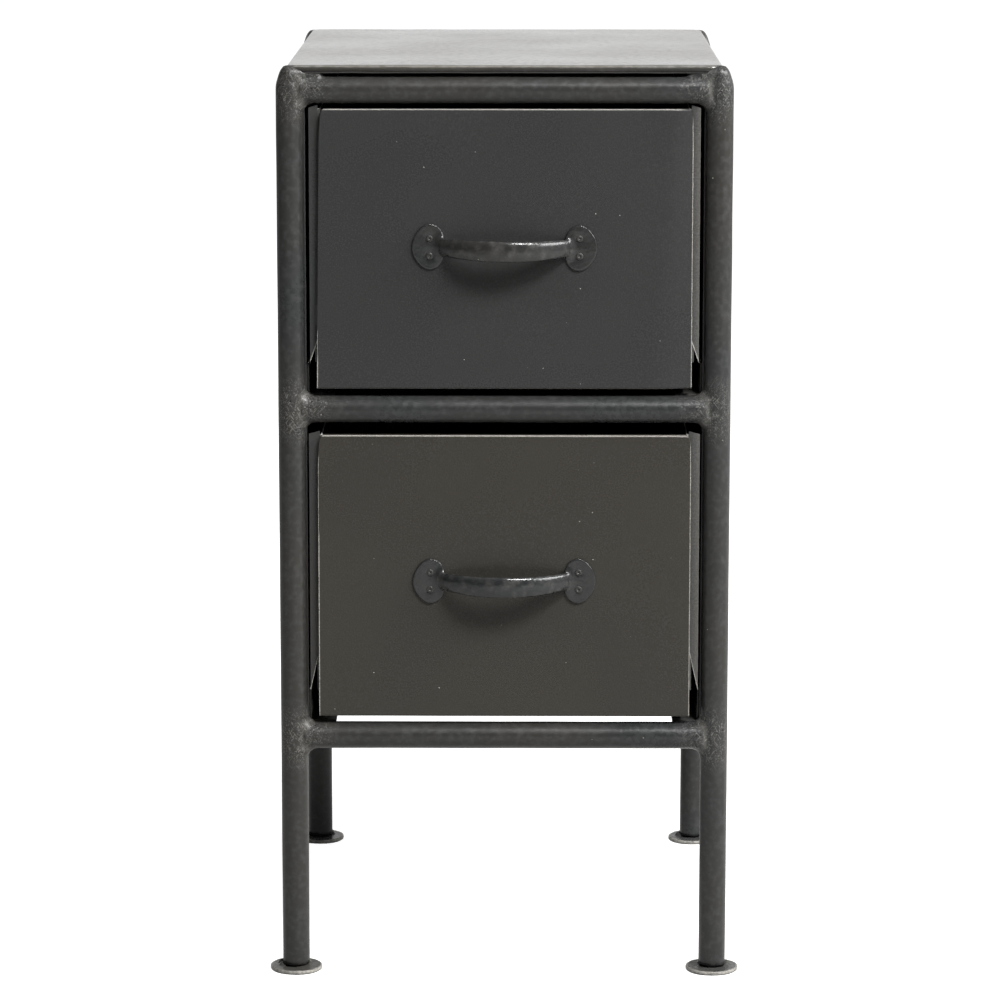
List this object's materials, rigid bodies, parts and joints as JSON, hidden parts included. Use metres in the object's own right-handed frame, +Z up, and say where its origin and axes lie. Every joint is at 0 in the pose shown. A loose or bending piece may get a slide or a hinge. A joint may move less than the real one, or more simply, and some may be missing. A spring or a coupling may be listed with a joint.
{
  "type": "drawer cabinet",
  "caption": "Bedside cabinet with a welded round-tube frame on disc feet, a folded sheet top, sheet sides and back, and sheet-metal drawers with cast bow handles.",
  "frame": {"origin": "on the floor, under the middle of the outer box with both drawers closed", "axes": "+Z up, -Y towards the front with the drawers, +X to the right as seen from the front"},
  "size_m": [0.333, 0.411, 0.643],
  "materials": {
    "tube_lacquer": "dark gunmetal lacquer over round steel tube, satin",
    "foot_lacquer": "dark lacquered steel discs, worn on the rims",
    "weld_bead": "lacquered weld metal, rippled",
    "top_sheet_lacquer": "dark lacquered sheet, semi-gloss, rubbed",
    "side_sheet_lacquer": "dark lacquered sheet, satin",
    "drawer_front_lacquer": "dark lacquered sheet, satin, mottled",
    "inner_sheet": "dark lacquered sheet, satin",
    "cast_handle": "dark lacquered cast iron, rubbed on the bow",
    "rivet_steel": "lacquered steel rivets, rubbed bright"
  },
  "bodies": {
    "frame": {"front_left_post": "tube_lacquer", "front_right_post": "tube_lacquer", "rear_left_post": "tube_lacquer", "rear_right_post": "tube_lacquer", "front_left_foot": "foot_lacquer", "front_right_foot": "foot_lacquer", "rear_left_foot": "foot_lacquer", "rear_right_foot": "foot_lacquer", "front_top_rail": "tube_lacquer", "front_middle_rail": "tube_lacquer", "front_bottom_rail": "tube_lacquer", "rear_top_rail": "tube_lacquer", "rear_bottom_rail": "tube_lacquer", "left_top_rail": "tube_lacquer", "left_bottom_rail": "tube_lacquer", "right_top_rail": "tube_lacquer", "right_bottom_rail": "tube_lacquer", "top_sheet": "top_sheet_lacquer", "left_sheet": "side_sheet_lacquer", "right_sheet": "side_sheet_lacquer", "back_sheet": "side_sheet_lacquer", "upper_left_runner": "inner_sheet", "upper_right_runner": "inner_sheet", "lower_left_runner": "inner_sheet", "lower_right_runner": "inner_sheet", "front_rail_welds": "weld_bead", "rear_rail_welds": "weld_bead", "side_rail_welds": "weld_bead", "lip_welds": "weld_bead", "foot_welds": "weld_bead"},
    "upper_drawer": {"upper_tray": "inner_sheet", "upper_front": "drawer_front_lacquer", "upper_handle": "cast_handle", "upper_rivets": "rivet_steel"},
    "lower_drawer": {"lower_tray": "inner_sheet", "lower_front": "drawer_front_lacquer", "lower_handle": "cast_handle", "lower_rivets": "rivet_steel"}
  },
  "joints": [
    {"name": "upper_drawer_slide", "type": "slide", "parent": "frame", "child": "upper_drawer", "axis": [0, -1, 0], "range_m": [0, 0.28]},
    {"name": "lower_drawer_slide", "type": "slide", "parent": "frame", "child": "lower_drawer", "axis": [0, -1, 0], "range_m": [0, 0.28]}
  ]
}
